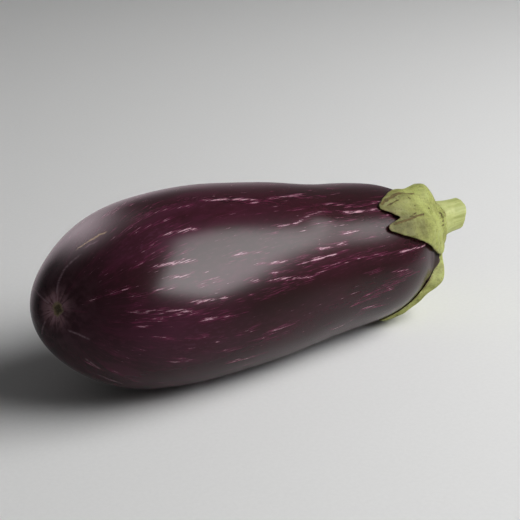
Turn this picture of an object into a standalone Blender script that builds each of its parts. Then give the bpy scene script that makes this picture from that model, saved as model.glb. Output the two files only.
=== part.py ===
"""A striped eggplant lying on its side: the fruit, its calyx and the cut stem, each one solid.

Frame: metres, +Z up, the floor at z = 0. The fruit lies along X with its blossom end towards -X and
its stem towards +X. A place on the skin is given by two numbers. The first runs from 0 at the
blossom end to 1 at the stem end, and the second is the angle round the fruit, from +Y over the top.
"""

import math

import bmesh
import bpy
import numpy as np

MM = 0.001

# The fruit. Fullness is the half-width of the ellipse that each station belongs to, so the same
# fullness all along would make an ellipsoid. The stations are evenly spaced from end to end.
FRUIT_LENGTH = 200 * MM
BLOSSOM_X = -109 * MM
FULLNESS = np.array([45, 46.5, 49.5, 42, 38, 33.5, 42.5, 35, 24]) * MM
AXIS_HEIGHT = np.array([41, 39, 39.5, 34.5, 29.5, 35]) * MM
AXIS_SIDE = np.array([0, 0, 0, 0, 3, 6.5]) * MM
FULLNESS_SPREAD = 0.11
AXIS_SPREAD = 0.17

# Shallow hollows in the skin: place, angle in degrees, half length, half angle in degrees, depth.
HOLLOWS = (
    (0.60, 62, 0.05, 26, 1.6 * MM),
    (0.50, 75, 0.06, 40, 0.7 * MM),
    (0.70, 70, 0.06, 40, 1.1 * MM),
)

# The scar that the flower left, a little off the middle of the blossom end.
SCAR_PLACE = np.array([BLOSSOM_X + 3.9 * MM, -10.6 * MM, 47.1 * MM])
SCAR_RADIUS = 4.5 * MM
SCAR_DEPTH = 1.2 * MM

# The calyx. Its margin is a list of angle in degrees and distance from the stem end along the skin,
# in millimetres: a lobe's tip is where the distance is greatest, a notch is where it is least.
MARGIN = (
    (0, 60), (20, 46), (40, 30), (60, 22), (84, 19), (95, 25), (103, 39), (110.5, 50), (121.5, 61.5),
    (127, 63), (136, 54.5), (141, 64), (146, 64), (153, 53), (160, 43), (172, 34), (184, 26), (193, 21),
    (201, 24), (207, 32), (212, 36), (219, 40), (224, 44), (229, 48), (233, 52), (237, 56), (242, 60), (248, 57),
    (260, 31), (268, 38), (280, 58),
    (288, 60), (304, 44), (320, 30), (340, 44), (352, 57),
)
NOTCH_DISTANCE = 26 * MM
# Distance from the stem end and height over the skin, then distance and thickness, in millimetres.
OUTER_HEIGHT = ((0, 2.6), (10, 2.4), (16, 2.2), (32, 1.9), (42, 1.9), (50, 1.8), (58, 1.5), (67, 1.2))
THICKNESS = ((0, 2.2), (16, 2.0), (34, 1.6), (50, 1.2), (67, 0.9))
# Near its margin the calyx thins to this share, over this share of the way from the stem.
MARGIN_THINNEST = 0.4
MARGIN_WIDTH = 1 / 6
# The lobes' raised midribs: angle, distance, half angle, half length, rise in millimetres.
RIDGES = (
    (105, 26, 17, 6.2, 6.3), (116, 40, 10, 14, 1.2), (143, 32, 16, 18, 1.6), (213, 29, 20, 8.5, 4.5),
    (230, 46, 22, 11, 0.9), (284, 28, 20, 14, 1.0), (0, 28, 20, 14, 1.0), (104, 17, 30, 5.5, 3.0),
    (190, 18, 16, 6, 1.0),
)
# These two make the lobe that stands proud of the fruit's shoulder. At its margin it hugs the skin.
SHOULDER_LOBE = RIDGES[3:5]
SHOULDER_HALF_ANGLE = 25
HUG = 0.55
HUG_WIDTH = 5 * MM
# Inside the neck's inner distance the calyx is a flat collar round the stem, and it has left the
# collar by the outer distance. The innermost ring keeps clear of the fruit's own end.
NECK_INNER = 9 * MM
NECK_OUTER = 14 * MM
INNERMOST_SHARE = 0.02

# The stem, cut short.
STEM_BASE = np.array([BLOSSOM_X + FRUIT_LENGTH + 3.2 * MM, 6.5 * MM, 35.4 * MM])
STEM_TIP = np.array([BLOSSOM_X + FRUIT_LENGTH + 16.6 * MM, 6.0 * MM, 36.3 * MM])
STEM_BASE_RADIUS = 8.0 * MM
STEM_TIP_RADIUS = 7.2 * MM
# The cut face leans back under the stem, by this much along per unit of height, and the base flares.
STEM_SLANT = 0.24
STEM_FLARE = 0.16
STEM_FLARE_SHARE = 0.28
# Share of the way to the tip, and width there as a share of the radius.
STEM_PROFILE = (
    (0, 0.5), (0, 0.96), (0.06, 1), (0.35, 0.97), (0.65, 0.98), (0.92, 1), (0.985, 0.95), (1, 0.86),
    (1, 0.45),
)

# The clearances between the stem and the calyx, and between the calyx and the fruit.
STEM_GAP = 0.3 * MM
CALYX_GAP = 0.6 * MM

FRUIT_STATIONS = 40
FRUIT_SIDES = 60
CALYX_STATIONS = 12
CALYX_SIDES = 90
STEM_SIDES = 28


def clear_scene():
    for item in list(bpy.data.objects):
        bpy.data.objects.remove(item, do_unlink=True)


def soft_curve(values, place, spread):
    """The evenly spaced values, blended into one smooth curve and read at place, from 0 to 1."""
    stations = np.linspace(0, 1, len(values))
    weights = np.exp(-(((np.asarray(place)[..., None] - stations) / spread) ** 2))
    return (weights * values).sum(-1) / weights.sum(-1)


def angle_between(angle, middle_degrees):
    """How far an angle is from a middle, in degrees, the short way round."""
    return (np.degrees(angle) - middle_degrees + 180) % 360 - 180


def hollow_depth(place, angle):
    depth = 0
    for middle, degrees, half_length, half_angle, deepest in HOLLOWS:
        along = (place - middle) / half_length
        around = angle_between(angle, degrees) / half_angle
        depth = depth + deepest * np.exp(-(along**2) - around**2)
    return depth


def skin(place, angle):
    """Points of the fruit's skin, before the scar and the flat spot."""
    swell = np.sin(np.pi * place)
    reach = swell * (soft_curve(FULLNESS, place, FULLNESS_SPREAD) - hollow_depth(place, angle))
    x = BLOSSOM_X + FRUIT_LENGTH * (1 - np.cos(np.pi * place)) / 2
    y = soft_curve(AXIS_SIDE, place, AXIS_SPREAD) + reach * np.cos(angle)
    z = soft_curve(AXIS_HEIGHT, place, AXIS_SPREAD) + reach * np.sin(angle)
    return np.stack(np.broadcast_arrays(x, y, z), axis=-1)


def skin_normal(place, angle):
    """The skin's outward direction, from two short steps along it."""
    step = 1e-4
    off_end = np.clip(place, 0.01, 0.99)
    along = skin(off_end + step, angle) - skin(off_end - step, angle)
    around = skin(off_end, angle + step) - skin(off_end, angle - step)
    normal = np.cross(along, around)
    return -normal / np.linalg.norm(normal, axis=-1, keepdims=True)


def place_from_stem(distance, angle):
    """The place that lies a given distance from the stem end, measured along the skin."""
    places = np.linspace(1, 0.4, 120)
    line = skin(places, np.full_like(places, angle))
    walked = np.concatenate([[0], np.cumsum(np.linalg.norm(np.diff(line, axis=0), axis=1))])
    return np.interp(distance, walked, places)


def smooth_step(low, high, value):
    share = np.clip((value - low) / (high - low), 0, 1)
    return share * share * (3 - 2 * share)


def read_table(table, value):
    columns = np.array(table, float).T
    return np.interp(value, columns[0], columns[1])


def loft(name, rings, material):
    """One closed solid from rings of points, each end drawn together in a point."""
    shape = bmesh.new()
    rows = [[shape.verts.new(point) for point in ring] for ring in rings]
    for row, following in zip(rows, rows[1:]):
        for side in range(len(row)):
            beside = (side + 1) % len(row)
            shape.faces.new((row[side], row[beside], following[beside], following[side]))
    for row in (rows[0], rows[-1]):
        tip = shape.verts.new(np.mean([vertex.co for vertex in row], axis=0))
        for side in range(len(row)):
            shape.faces.new((row[side], row[(side + 1) % len(row)], tip))
    bmesh.ops.recalc_face_normals(shape, faces=shape.faces)
    mesh = bpy.data.meshes.new(name)
    shape.to_mesh(mesh)
    shape.free()
    mesh.shade_smooth()
    mesh.materials.append(material)
    made = bpy.data.objects.new(name, mesh)
    bpy.context.scene.collection.objects.link(made)
    return made


def plain_material(name, colour, roughness):
    material = bpy.data.materials.new(name)
    material.use_nodes = True
    shader = material.node_tree.nodes["Principled BSDF"]
    shader.inputs["Base Color"].default_value = (*colour, 1)
    shader.inputs["Roughness"].default_value = roughness
    shader.inputs["Metallic"].default_value = 0
    return material


def angles_round(sides):
    return np.arange(sides) * 2 * math.pi / sides


def make_fruit():
    """The fruit: dimpled at the scar, and pressed flat where it rests."""
    angles = angles_round(FRUIT_SIDES)
    rings = []
    for place in np.linspace(0, 1, FRUIT_STATIONS + 1)[1:-1]:
        points = skin(place, angles)
        distance = np.linalg.norm(points - SCAR_PLACE, axis=1)
        dimple = SCAR_DEPTH * np.exp(-((distance / SCAR_RADIUS) ** 2))
        points = points - skin_normal(place, angles) * dimple[:, None]
        points[:, 2] = np.maximum(points[:, 2], 0)
        rings.append(points)
    return loft("fruit", rings, plain_material("fruit_skin", (0.035, 0.008, 0.018), 0.25))


def margin_distance(angle):
    """How far the calyx reaches from the stem end at an angle in degrees."""
    corners = np.array(MARGIN, float)
    return np.interp(angle, corners[:, 0], corners[:, 1], period=360) * MM


def calyx_height(distance, degrees):
    """How high the calyx's outer face stands over the skin."""
    inward = smooth_step(0, HUG_WIDTH, margin_distance(degrees) - distance)
    from_lobe = angle_between(math.radians(degrees), SHOULDER_LOBE[1][0]) / SHOULDER_HALF_ANGLE
    hugging = HUG * math.exp(-(from_lobe**2)) * (1 - inward)
    height = read_table(OUTER_HEIGHT, distance / MM) * (1 - hugging)
    for ridge in RIDGES:
        middle, peak, half_angle, half_length, rise = ridge
        around = angle_between(math.radians(degrees), middle) / half_angle
        along = (distance / MM - peak) / half_length
        near_edge = inward if ridge in SHOULDER_LOBE else 1
        height = height + rise * np.exp(-(around**2) - along**2) * near_edge
    return height * MM


def calyx_ray(degrees, shares):
    """Outer and inner points of the calyx along one line from the stem to the margin."""
    angle = math.radians(degrees)
    beyond_notch = margin_distance(degrees) - NOTCH_DISTANCE
    distance = NOTCH_DISTANCE * shares + beyond_notch * shares**3
    place = place_from_stem(distance, angle)
    foot = skin(place, angle)
    normal = skin_normal(place, angle)
    outer = calyx_height(distance, degrees)
    thickness = read_table(THICKNESS, distance / MM) * MM
    from_margin = np.sqrt(np.clip((1 - shares) / MARGIN_WIDTH, 0, 1))
    thinning = MARGIN_THINNEST + (1 - MARGIN_THINNEST) * from_margin
    inner = np.maximum(outer - thickness * thinning, CALYX_GAP)
    outside = foot + normal * outer[:, None]
    inside = foot + normal * inner[:, None]
    round_stem = np.array([0, math.cos(angle), math.sin(angle)])
    neck = STEM_BASE - (STEM_GAP, 0, 0) + distance[:, None] * round_stem
    share = smooth_step(NECK_INNER, NECK_OUTER, distance)[:, None]
    return neck * (1 - share) + outside * share, inside


def make_calyx():
    """The green cap: a star of lobes whose outer and inner faces meet along the margin."""
    shares = np.linspace(0, 1, CALYX_STATIONS + 1)
    shares[0] = INNERMOST_SHARE
    rays = [calyx_ray(np.degrees(angle), shares) for angle in angles_round(CALYX_SIDES)]
    outer = np.array([ray[0] for ray in rays]).swapaxes(0, 1)
    inner = np.array([ray[1] for ray in rays]).swapaxes(0, 1)
    rings = list(outer) + list(inner[::-1])
    return loft("calyx", rings, plain_material("calyx_green", (0.42, 0.50, 0.16), 0.55))


def make_stem():
    """The stem: a short stalk that narrows to a cut end with a slightly rounded rim."""
    angles = angles_round(STEM_SIDES)
    rings = []
    for share, width in STEM_PROFILE:
        middle = STEM_BASE + (STEM_TIP - STEM_BASE) * share
        radius = (STEM_BASE_RADIUS + (STEM_TIP_RADIUS - STEM_BASE_RADIUS) * share) * width
        radius *= 1 + STEM_FLARE * math.exp(-share / STEM_FLARE_SHARE)
        lean = STEM_SLANT * share
        ring = [middle + radius * np.array([lean * math.sin(a), math.cos(a), math.sin(a)]) for a in angles]
        rings.append(ring)
    return loft("stem", rings, plain_material("stem_green", (0.50, 0.56, 0.20), 0.5))


clear_scene()
make_fruit()
make_calyx()
make_stem()
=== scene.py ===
"""The looks of a striped eggplant lying on a pale studio floor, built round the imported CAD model.

Each of the three CAD nodes is replaced by a fine mesh of the same shape: the fruit's skin, the
calyx and the stem. Metres, +Z up. A place on the skin runs from 0 at the blossom end to 1 at the
stem end, and an angle goes round the fruit from +Y over the top.
"""

import math

import bpy
import numpy as np
from mathutils import Matrix, Vector


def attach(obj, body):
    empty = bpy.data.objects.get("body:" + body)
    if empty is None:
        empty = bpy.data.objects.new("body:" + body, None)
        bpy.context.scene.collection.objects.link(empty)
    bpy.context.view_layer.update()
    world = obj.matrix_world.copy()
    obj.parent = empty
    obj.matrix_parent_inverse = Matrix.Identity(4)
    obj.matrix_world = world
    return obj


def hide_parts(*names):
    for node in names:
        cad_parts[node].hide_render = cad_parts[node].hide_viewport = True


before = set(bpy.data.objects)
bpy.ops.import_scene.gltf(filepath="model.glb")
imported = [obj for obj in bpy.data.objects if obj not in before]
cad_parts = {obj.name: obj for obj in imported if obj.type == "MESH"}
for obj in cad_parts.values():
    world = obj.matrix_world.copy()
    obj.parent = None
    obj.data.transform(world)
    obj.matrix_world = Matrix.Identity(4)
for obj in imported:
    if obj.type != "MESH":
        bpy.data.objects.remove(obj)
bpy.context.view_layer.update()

MM = 0.001

# The fruit, as in the CAD model. FULLNESS is its half thickness, before it tapers to both ends, and
# AXIS_HEIGHT and AXIS_SIDE place its axis, each at even steps from the blossom end to the stem end.
FRUIT_LENGTH = 200 * MM
BLOSSOM_X = -109 * MM
FULLNESS = np.array([45, 46.5, 49.5, 42, 38, 33.5, 42.5, 35, 24]) * MM
AXIS_HEIGHT = np.array([41, 39, 39.5, 34.5, 29.5, 35]) * MM
AXIS_SIDE = np.array([0, 0, 0, 0, 3, 6.5]) * MM
FULLNESS_SPREAD = 0.11
AXIS_SPREAD = 0.17
# Shallow hollows: place along, angle, half length as a share, half angle and depth.
HOLLOWS = (
    (0.6, 62, 0.05, 26, 1.6 * MM),
    (0.5, 75, 0.06, 40, 0.7 * MM),
    (0.7, 70, 0.06, 40, 1.1 * MM),
)
# The blossom's scar sits in a dimple, inside a low rim.
SCAR_PLACE = np.array([BLOSSOM_X + 3.9 * MM, -10.6 * MM, 47.1 * MM])
SCAR_RADIUS = 4.5 * MM
SCAR_DEPTH = 1.2 * MM
SCAR_RIM_RADIUS = 3.2 * MM
SCAR_RIM_WIDTH = 1.1 * MM
SCAR_RIM_HEIGHT = 0.35 * MM

# The calyx and the stem, as in the CAD model. MARGIN is the calyx's outline, as angle and distance
# from the stem end in millimetres. OUTER_HEIGHT and THICKNESS are read by that distance.
MARGIN = (
    (0, 60), (20, 46), (40, 30), (60, 22), (84, 19), (95, 25), (103, 39), (110.5, 50),
    (121.5, 61.5), (127, 63), (136, 54.5), (141, 64), (146, 64), (153, 53), (160, 43), (172, 34),
    (184, 26), (193, 21), (201, 24), (207, 32), (212, 36), (219, 40), (224, 44), (229, 48),
    (233, 52), (237, 56), (242, 60), (248, 57), (260, 31), (268, 38), (280, 58), (288, 60),
    (304, 44), (320, 30), (340, 44), (352, 57),
)
OUTER_HEIGHT = (
    (0, 2.6), (10, 2.4), (16, 2.2), (32, 1.9), (42, 1.9), (50, 1.8), (58, 1.5), (67, 1.2),
)
THICKNESS = ((0, 2.2), (16, 2), (34, 1.6), (50, 1.2), (67, 0.9))
# Swellings of the calyx: angle, distance from the stem end, half angle, half length and height.
# Lengths are in millimetres.
RIDGES = (
    (105, 26, 17, 6.2, 6.3), (116, 40, 10, 14, 1.2), (143, 32, 16, 18, 1.6),
    (213, 29, 20, 8.5, 4.5), (230, 46, 22, 11, 0.9), (284, 28, 20, 14, 1), (0, 28, 20, 14, 1),
    (104, 17, 30, 5.5, 3), (190, 18, 16, 6, 1),
)
# The lobe that stands proud of the fruit's shoulder. The skin fills most of the space under it.
SHOULDER_LOBE = RIDGES[3:5]
SHOULDER_FILL = 0.9
# The skin's own bulge and crease beside that lobe, in the same terms as RIDGES.
NOTCH_BULGE = (203, 22, 10, 6, 2.4)
CREASE = (188, 33, 20, 2.6, 0.7)
# That lobe's edge hugs the skin: half angle, share of its height, and reach in millimetres.
HUG_HALF_ANGLE = 25
HUG_SHARE = 0.55
HUG_REACH = 5
# The outline is softened over these degrees, and has waves: their height in millimetres, number
# round the calyx and shift in radians.
MARGIN_SOFTNESS = 1.5
MARGIN_REACH = 2.4
MARGIN_WAVES = ((0.25, 23, 1), (0.2, 41, 0), (0.15, 67, 2))
# Fine folds round the stem: number, height, distance of the highest place and reach from there.
FOLDS = 26
FOLD_HEIGHT = 0.18 * MM
FOLD_DISTANCE = 13 * MM
FOLD_REACH = 9 * MM
# Past this distance the calyx's rows spread into the lobes.
NOTCH_DISTANCE = 26 * MM
# Between these distances the calyx passes from a flat ring round the stem to the skin's shape.
NECK_INNER = 9 * MM
NECK_OUTER = 14 * MM
# The visual calyx lies a tenth of a millimetre closer to the skin than the CAD's.
CALYX_GAP = 0.5 * MM
STEM_BASE = np.array([BLOSSOM_X + FRUIT_LENGTH + 3.2 * MM, 6.5 * MM, 35.4 * MM])
STEM_TIP = np.array([BLOSSOM_X + FRUIT_LENGTH + 16.6 * MM, 6 * MM, 36.3 * MM])
STEM_BASE_RADIUS = 8 * MM
STEM_TIP_RADIUS = 7.2 * MM
# The cut face leans back under the stem: this far along per unit of height.
STEM_SLANT = 0.24
# The stem is this share wider at its foot, and the flare fades over this share of its length.
STEM_FLARE = 0.16
STEM_FLARE_LENGTH = 0.28
# Ridges round the stem: number, height as a share of its radius, shift and twist in radians.
STEM_RIDGES = ((5, 0.018, 0.6, 0), (13, 0.008, 0, 2), (29, 0.004, 0, 0))
# The cut face, from its rim inwards: width as a share of the radius, and depth in millimetres.
CUT_FACE = (
    (0.8, 0.1), (0.7, 0.25), (0.6, 0.3), (0.5, 0.35), (0.4, 0.5), (0.3, 0.6), (0.18, 0.65),
    (0.08, 0.65),
)
# The stem's fibres and rings follow coordinates in millimetres, for a stem of about this size.
STALK_LENGTH = 15
STALK_RADIUS = 8

# How finely the pieces are meshed. The fruit has more rows close to its scar.
FRUIT_ROWS = 235
FRUIT_SCAR_ROWS = 60
FRUIT_SCAR_SHARE = 0.12
FRUIT_SIDES = 400
CALYX_OUTER_ROWS = 64
CALYX_INNER_ROWS = 20
CALYX_SIDES = 900
STEM_SIDES = 160

# Round the fruit, one radian of angle counts as this many millimetres of skin.
SKIN_RADIUS = 38
# The threads of colour run at this slope across the length of the fruit.
THREAD_SLANT = 0.1

# Unevenness: height and size of the bumps in millimetres, and the seed of their random draws.
FRUIT_UNEVENNESS = ((0.16, 34, 3), (0.05, 13, 4))
CALYX_UNEVENNESS = ((0.22, 5, 11), (0.1, 2.2, 12))
STEM_UNEVENNESS = ((0.1, 4, 21),)
# Soft bumps of the skin: angle, distance from the blossom end, radius and height in millimetres.
SKIN_BUMPS = ((125, 118, 7.5, 0.7), (250, 60, 14, 0.5), (20, 110, 16, 0.6), (310, 140, 12, 0.5))

# The larger brush marks: millimetres from the blossom end and angle where each begins, the same
# where it ends, and strength from 0 to 1.
BRUSH_MARKS = (
    (69, 105, 91, 110, 1), (87, 113, 96, 113, 0.7), (98, 110, 117, 107, 0.8),
    (93, 132, 101, 132, 0.8), (101, 132, 112, 127, 1), (112, 127, 122, 124, 0.8),
    (131, 126, 152, 126, 1), (125, 142, 135, 141, 0.9), (135, 147, 141, 147, 0.6),
    (109, 150, 124, 148, 0.9), (99, 156, 117, 155, 1), (80, 152, 95, 154, 0.7),
    (67, 144, 82, 146, 0.5), (82, 158, 92, 160, 0.6), (72, 160, 102, 166, 0.8),
    (110, 162, 130, 160, 0.6), (132, 160, 152, 162, 0.5), (153, 162, 172, 162, 1),
    (37, 140, 51, 142, 0.9), (42, 149, 48, 150, 1), (34, 154, 42, 154, 0.8),
    (51, 156, 59, 157, 0.6), (47, 165, 62, 167, 1), (24, 164, 45, 169, 0.8),
    (35, 114, 51, 113, 0.6), (44, 123, 58, 124, 0.9), (36, 127, 42, 126, 0.6),
    (49, 105, 62, 106, 0.5), (10, 151, 15, 148, 0.9), (20, 148, 25, 148, 0.6),
    (121, 119, 135, 118, 0.6), (134, 121, 166, 117, 0.5), (26, 175, 29, 175, 0.7),
    (32, 183, 39, 185, 0.5), (27, 192, 30, 190, 0.6), (38, 202, 46, 203, 0.5),
    (65, 212, 83, 213, 0.5), (12, 219, 16, 220, 0.5), (153, 180, 160, 180, 0.5),
    (60, 250, 84, 252, 0.8), (120, 60, 144, 56, 0.9), (70, 30, 96, 34, 0.9),
    (40, 330, 62, 334, 0.8), (110, 300, 136, 296, 0.8), (30, 172, 36, 173, 0.5),
    (52, 173, 60, 174, 0.5), (45, 186, 52, 187, 0.4), (134, 172, 140, 172, 0.35),
    (150, 176, 158, 177, 0.4), (60, 190, 66, 190, 0.4),
)
BRUSH_HALF_WIDTH = 0.65

# Soft patches of colour: angle, distance from the blossom end, half length and half width in
# millimetres, and strength.
BLUSHES = (
    (124, 40, 16, 8, 1), (184, 42, 32, 16, 1), (166, 38, 16, 7, 0.5), (106, 66, 20, 5, 0.5),
    (60, 60, 40, 20, 0.5),
)
BROWN_PATCHES = (
    (175, 90, 32, 9, 1), (176, 138, 26, 9, 0.7), (300, 90, 50, 30, 0.6), (142, 72, 18, 6, 0.4),
)

# The skin beside the lifted lobe, painted dark as shade with a dry brown tint: angle, half angle,
# and how far from the stem end it starts and is full, in millimetres.
CREVICE = (190, 18, 35.5, 31.5)

# Fine pale lines that run out from the scar: millimetres to the side of it and above it. They end
# about SCAR_LINE_DEPTH millimetres behind the scar.
SCAR_LINES = (
    ((1.4, 6), (2, 10), (1.6, 14.5), (-0.4, 18), (-2.4, 20.5)),
    ((-5.5, -7.2), (-9, -7.9), (-12.5, -9)),
    ((4.5, 1.5), (9.5, 3.2), (17, 4.4)),
    ((5.2, -6), (8.5, -11.5)),
    ((-10, -18), (-13.5, -21.5)),
    ((-10.7, -24.5), (-17, -28)),
)
SCAR_LINE_HALF_WIDTH = 0.34
SCAR_LINE_DEPTH = 32

# The dry scratch near the blossom end: its middle in millimetres from that end, its angle and its
# slant. The fruit is thinner there, so its skin's radius is this share of SKIN_RADIUS.
SCRATCH_MIDDLE = 22.4
SCRATCH_ANGLE = 100
SCRATCH_SLANT = -0.18
SCRATCH_RADIUS_SHARE = 0.75

# Corky lines on the calyx, along the lobes' midribs: half width in millimetres, strength, and
# points as distance from the stem end in millimetres and angle.
CORKY_LINES = (
    (0.75, 1, ((61, 123), (55, 119), (48, 115), (41, 113), (35, 112))),
    (0.5, 0.8, ((58, 125), (54, 123), (50, 121))),
    (0.75, 0.9, ((27, 99), (22, 103), (18, 108))),
    (0.55, 1, ((61, 141), (56, 140), (51, 139), (45, 137), (38, 135))),
    (0.45, 0.8, ((50, 137), (44, 134))),
    (0.6, 0.9, ((14, 118), (12.5, 130), (12, 139), (13, 156))),
    (0.5, 0.7, ((17, 128), (14, 131))),
    (0.5, 0.7, ((19, 138), (15, 141))),
    (0.5, 0.7, ((18, 148), (14, 151))),
    (0.9, 0.7, ((60, 287), (40, 285), (25, 283))),
    (0.9, 0.7, ((56, 1), (38, 2), (24, 4))),
    (0.8, 0.4, ((57, 243), (45, 228), (34, 218))),
)
# Small corky spots: distance from the stem end, angle, radius in millimetres.
CORKY_SPOTS = (
    (40, 109, 0.9), (43, 121, 1.2), (41, 127, 0.9), (24, 97, 1.3), (30, 128, 0.7), (19, 260, 1.4),
)
CORKY_SPOT_STRENGTH = 0.8
# Painted shade below the lobes' midribs, as olive spots given in the same way.
SHADE_SPOTS = ((60, 145, 4), (53, 145, 4.5), (45, 147, 4), (58, 128, 3))
# The calyx's radius in millimetres where an angle becomes a width: for the marks on its lobes, and
# for the coordinates that its veins follow.
LOBE_RADIUS = 28
LEAF_RADIUS = 22

# The camera: azimuth from -Y towards +X and elevation in degrees, field of view and place.
CAMERA_AZIMUTH = -34
CAMERA_ELEVATION = 22.1
CAMERA_FIELD = 22
CAMERA_PLACE = (-0.296, -0.4289, 0.251)

# How far the studio's panels stand from what they light, in metres.
PANEL_DISTANCE = 1.2
# Each panel: width and height in metres, radiance, roll in degrees, soft edge as a share of its
# size, and how much dimmer its right side is. The key gives the light and the shadow.
KEY_DIRECTION = (-39, 43.5)
KEY_AIM = (0.035, 0.1, 0)
KEY_PANEL = (1.5, 0.9, 8.6, 7, 0.3, 0)
# The panels that only show as shine: name, azimuth and elevation, and the same values. They aim at
# this height over the origin.
SHINE_HEIGHT = 0.04
SHINES = (
    ("key_shine", -60, 37, 1.76, 1.18, 10.5, 40, 0.2, 0.45),
    ("key_side", -23, 26, 0.72, 0.34, 3.5, 10, 0.3, 0),
    ("rim_shine", 99, 31.5, 0.86, 2, 3, -33, 0.5, 0),
    ("rim_soft", 107, 49, 1.5, 1.3, 1.5, 0, 0.5, 0),
    ("rim_glow", 68, 8, 2, 1.8, 0.13, 0, 0.5, 0),
    ("end_glow", 82, -5, 2.4, 1.4, 0.62, 0, 0.5, 0),
)
WORLD_STRENGTH = 0.08

# The floor and the sheet that shows in the skin's shine: half their sides and their heights, in
# metres. The sheet fades out round a middle, between these distances, and is drawn out along X.
FLOOR_SHEET = (12, -0.0002)
SHINE_SHEET = (0.4, -0.0001)
SHINE_MIDDLE = (0.1, 0.02, 0)
SHINE_FADE = (0.05, 0.2)
SHINE_SQUEEZE = 0.6

# Colours of the fruit's skin and its marks, as linear red, green and blue.
SKIN_BLACKISH = (0.022, 0.0068, 0.0105)
SKIN_MAROON = (0.029, 0.0056, 0.0088)
SKIN_STEM_END = (0.019, 0.006, 0.0072)
SKIN_DARK_PATCH = (0.017, 0.0058, 0.0072)
SKIN_MOTTLE = (0.055, 0.007, 0.018)
SKIN_HAZE = (0.062, 0.0095, 0.026)
SKIN_BLUSH = (0.066, 0.017, 0.034)
SKIN_BROWN = (0.0195, 0.008, 0.008)
# Painted shade with a dry brown tint, for the skin under the lifted lobe.
SKIN_CREVICE_SHADE_AND_DRY = (0.02, 0.01, 0.007)
DASH_HALO = (0.15, 0.02, 0.062)
DASH_CORE = (0.6, 0.37, 0.44)
SCRATCH_PALE = (0.33, 0.22, 0.26)
SCRATCH_TAN = (0.44, 0.31, 0.18)
SCAR_BLOOM = (0.36, 0.205, 0.235)
SCAR_FOG = (0.092, 0.042, 0.058)
SCAR_LINE = (0.26, 0.17, 0.2)
SCAR_TAN_RIM = (0.185, 0.135, 0.075)
SCAR_PITH_DARK = (0.036, 0.027, 0.011)
SCAR_PITH_LIGHT = (0.09, 0.068, 0.026)

# Colours of the calyx. The tints darken what lies under them, as painted shade.
LEAF_DARK = (0.222, 0.235, 0.058)
LEAF_LIGHT = (0.358, 0.392, 0.114)
LEAF_VEIN = (0.385, 0.41, 0.14)
LEAF_FURROW = (0.165, 0.18, 0.042)
LEAF_GRAIN = (0.41, 0.43, 0.145)
LEAF_SPECK = (0.13, 0.12, 0.035)
LEAF_TIP_SHADE_TINT = (0.62, 0.58, 0.6)
LEAF_SPOT_SHADE_TINT = (0.66, 0.62, 0.62)
LEAF_DRY_EDGE = (0.13, 0.085, 0.028)
LEAF_INSIDE = (0.25, 0.29, 0.09)
CORK_TAN = (0.125, 0.08, 0.026)
CORK_DARK = (0.052, 0.032, 0.011)

# Colours of the stem and of its cut face.
STALK_DARK = (0.358, 0.392, 0.126)
STALK_LIGHT = (0.458, 0.492, 0.188)
STALK_PALE = (0.555, 0.578, 0.254)
STALK_SPECK = (0.25, 0.22, 0.07)
STALK_FOOT = (0.2, 0.15, 0.05)
CUT_PITH = (0.62, 0.62, 0.36)
CUT_FLESH = (0.38, 0.4, 0.16)
CUT_RIM = (0.22, 0.17, 0.07)
CUT_CELLS = (0.25, 0.19, 0.09)

# Colours of the floor, and of the panels that shine along the far edge of the fruit.
PAPER_DARK = (0.775, 0.775, 0.77)
PAPER_LIGHT = (0.79, 0.79, 0.785)
PAPER_SHINE = (0.78, 0.78, 0.775)
RIM_LIGHT_COLOUR = (1, 0.83, 0.9)


def round_axis(along, radius, angle):
    """Points this far along X and this far from it, with the angle running from +Y towards +Z."""
    points = np.broadcast_arrays(along, radius * np.cos(angle), radius * np.sin(angle))
    return np.stack(points, axis=-1)


def soft_curve(values, place, spread):
    """The evenly spaced values, blended into one smooth curve and read at place, from 0 to 1."""
    stations = np.linspace(0, 1, len(values))
    weights = np.exp(-(((np.asarray(place)[..., None] - stations) / spread) ** 2))
    return (weights * values).sum(-1) / weights.sum(-1)


def angle_between(angle, middle_degrees):
    """How far an angle is from a middle, in degrees, the short way round."""
    return (np.degrees(angle) - middle_degrees + 180) % 360 - 180


def smooth_step(low, high, value):
    share = np.clip((value - low) / (high - low), 0, 1)
    return share * share * (3 - 2 * share)


def ripple(points, size, seed, waves=9):
    """Soft bumps of about a given size, from -1 to 1: a few seeded waves in random directions."""
    draw = np.random.default_rng(seed)
    total = 0
    for _ in range(waves):
        direction = draw.normal(size=3)
        direction *= draw.uniform(0.7, 1.4) * math.pi / size / np.linalg.norm(direction)
        total = total + np.sin(points @ direction + draw.uniform(0, 2 * math.pi))
    return total / math.sqrt(waves)


def unevenness(points, bumps):
    """Soft bumps in metres, from rows of height and size in millimetres and a seed."""
    return sum(height * MM * ripple(points, size * MM, seed) for height, size, seed in bumps)


def skin(place, angle):
    """Points of the fruit's skin, before the scar and the flat spot."""
    swell = np.sin(np.pi * place)
    hollow = 0
    for middle, degrees, half_length, half_angle, deepest in HOLLOWS:
        along = (place - middle) / half_length
        around = angle_between(angle, degrees) / half_angle
        hollow = hollow + deepest * np.exp(-(along**2) - around**2)
    reach = swell * (soft_curve(FULLNESS, place, FULLNESS_SPREAD) - hollow)
    x = BLOSSOM_X + FRUIT_LENGTH * (1 - np.cos(np.pi * place)) / 2
    y = soft_curve(AXIS_SIDE, place, AXIS_SPREAD) + reach * np.cos(angle)
    z = soft_curve(AXIS_HEIGHT, place, AXIS_SPREAD) + reach * np.sin(angle)
    return np.stack(np.broadcast_arrays(x, y, z), axis=-1)


def skin_normal(place, angle):
    """The skin's outward direction, from two short steps along it."""
    step = 1e-4
    off_end = np.clip(place, 0.01, 0.99)
    along = skin(off_end + step, angle) - skin(off_end - step, angle)
    around = skin(off_end, angle + step) - skin(off_end, angle - step)
    normal = np.cross(along, around)
    return -normal / np.linalg.norm(normal, axis=-1, keepdims=True)


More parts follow.
